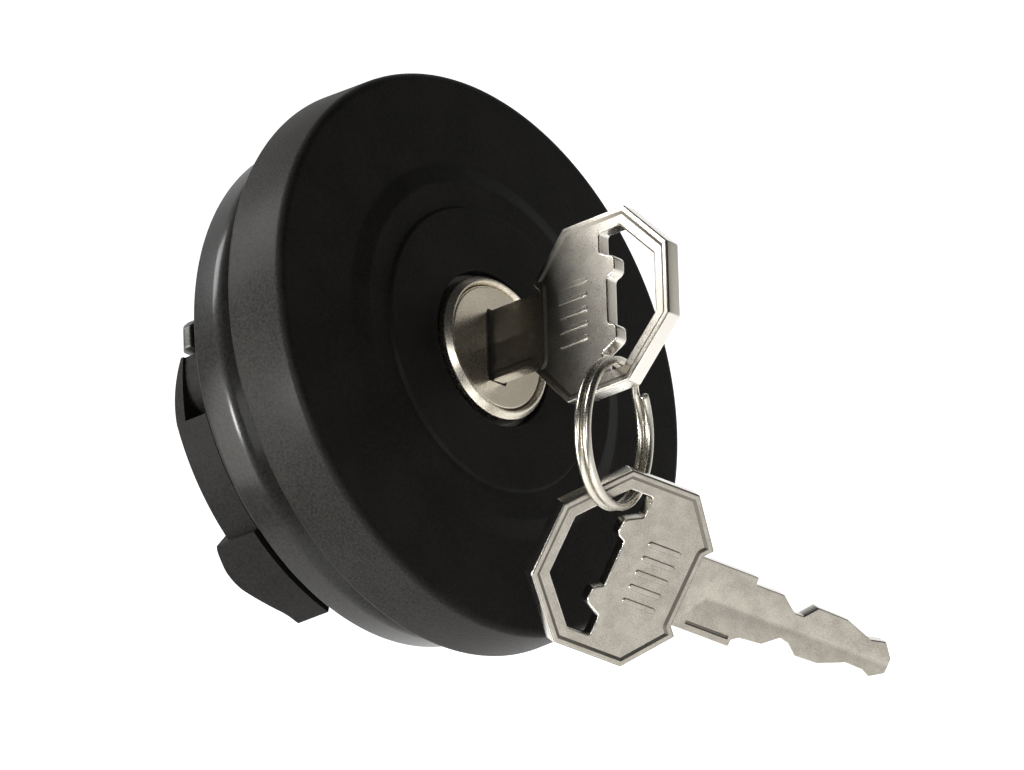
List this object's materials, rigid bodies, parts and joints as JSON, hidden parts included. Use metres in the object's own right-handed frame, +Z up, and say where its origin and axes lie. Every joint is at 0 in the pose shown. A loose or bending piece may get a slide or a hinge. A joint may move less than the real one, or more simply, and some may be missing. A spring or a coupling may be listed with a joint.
{
  "type": "locking fuel filler cap with keys",
  "caption": "Black moulded bayonet fuel filler cap with a lock in its face, a key in the lock and a spare key on a split ring.",
  "frame": {"origin": "centre of the neck seat plane, the gasket's rear face, on the cap's axis", "axes": "+Y along the cap's axis into the filler neck, so the cap faces -Y; +Z up as fitted in a vehicle's side"},
  "size_m": [0.0804, 0.0667, 0.1053],
  "materials": {
    "cover_plastic": "black moulded nylon, satin on the face and fine-grained on the skirt",
    "body_plastic": "black moulded acetal, fine-grained",
    "gasket_rubber": "black nitrile rubber, matt",
    "lock_zinc": "die-cast zinc alloy, plain",
    "bolt_zinc": "die-cast zinc alloy, black passivated",
    "lock_steel": "stainless steel, satin",
    "cam_steel": "zinc-plated pressed steel",
    "screw_steel": "zinc-plated steel",
    "wafer_brass": "stamped brass",
    "key_nickel": "nickel-plated stamped steel, worn bright on its edges",
    "ring_steel": "nickel-plated spring steel, polished"
  },
  "bodies": {
    "cap": {"outer_cover": "cover_plastic", "inner_body": "body_plastic", "lock_tube": "body_plastic", "bayonet_cam_1": "body_plastic", "bayonet_cam_2": "body_plastic", "neck_gasket": "gasket_rubber", "lock_housing": "lock_zinc", "lock_bezel": "lock_steel", "rear_cover": "body_plastic", "vent_valve": "gasket_rubber", "cover_screw_1": "screw_steel", "cover_screw_2": "screw_steel", "cover_screw_3": "screw_steel", "rear_screw_1": "screw_steel", "rear_screw_2": "screw_steel", "rear_screw_3": "screw_steel"},
    "barrel": {"lock_barrel": "lock_zinc", "barrel_cap": "lock_steel", "barrel_seal": "gasket_rubber", "drive_cam": "cam_steel", "cam_clip": "screw_steel", "wafer_1": "wafer_brass", "wafer_2": "wafer_brass", "wafer_3": "wafer_brass", "wafer_4": "wafer_brass", "wafer_5": "wafer_brass"},
    "bolt": {"locking_bolt": "bolt_zinc"},
    "key": {"key_1": "key_nickel"},
    "ring": {"split_ring": "ring_steel"},
    "spare": {"key_2": "key_nickel"}
  },
  "joints": [
    {"name": "barrel_turn", "type": "hinge", "parent": "cap", "child": "barrel", "pos_m": [0, 0, 0], "axis": [0, -1, 0], "range_deg": [0, 90]},
    {"name": "bolt_slide", "type": "slide", "parent": "cap", "child": "bolt", "axis": [-0.7071, 0, 0.7071], "range_m": [-0.0055, 0]},
    {"name": "key_slide", "type": "slide", "parent": "barrel", "child": "key", "axis": [0, -1, 0], "range_m": [0, 0.03]},
    {"name": "ring_swing", "type": "hinge", "parent": "key", "child": "ring", "pos_m": [-0.0082, -0.04668, -0.0082], "axis": [0, -1, 0], "range_deg": [-55, 30]},
    {"name": "spare_swing", "type": "hinge", "parent": "ring", "child": "spare", "pos_m": [-0.01476, -0.04172, -0.02287], "axis": [0.9775, 0.1559, -0.1418], "range_deg": [-35, 12]}
  ],
  "couplings": [
    {"joint": "bolt_slide", "follows": "barrel_turn", "m_per_rad": -0.0035014}
  ]
}
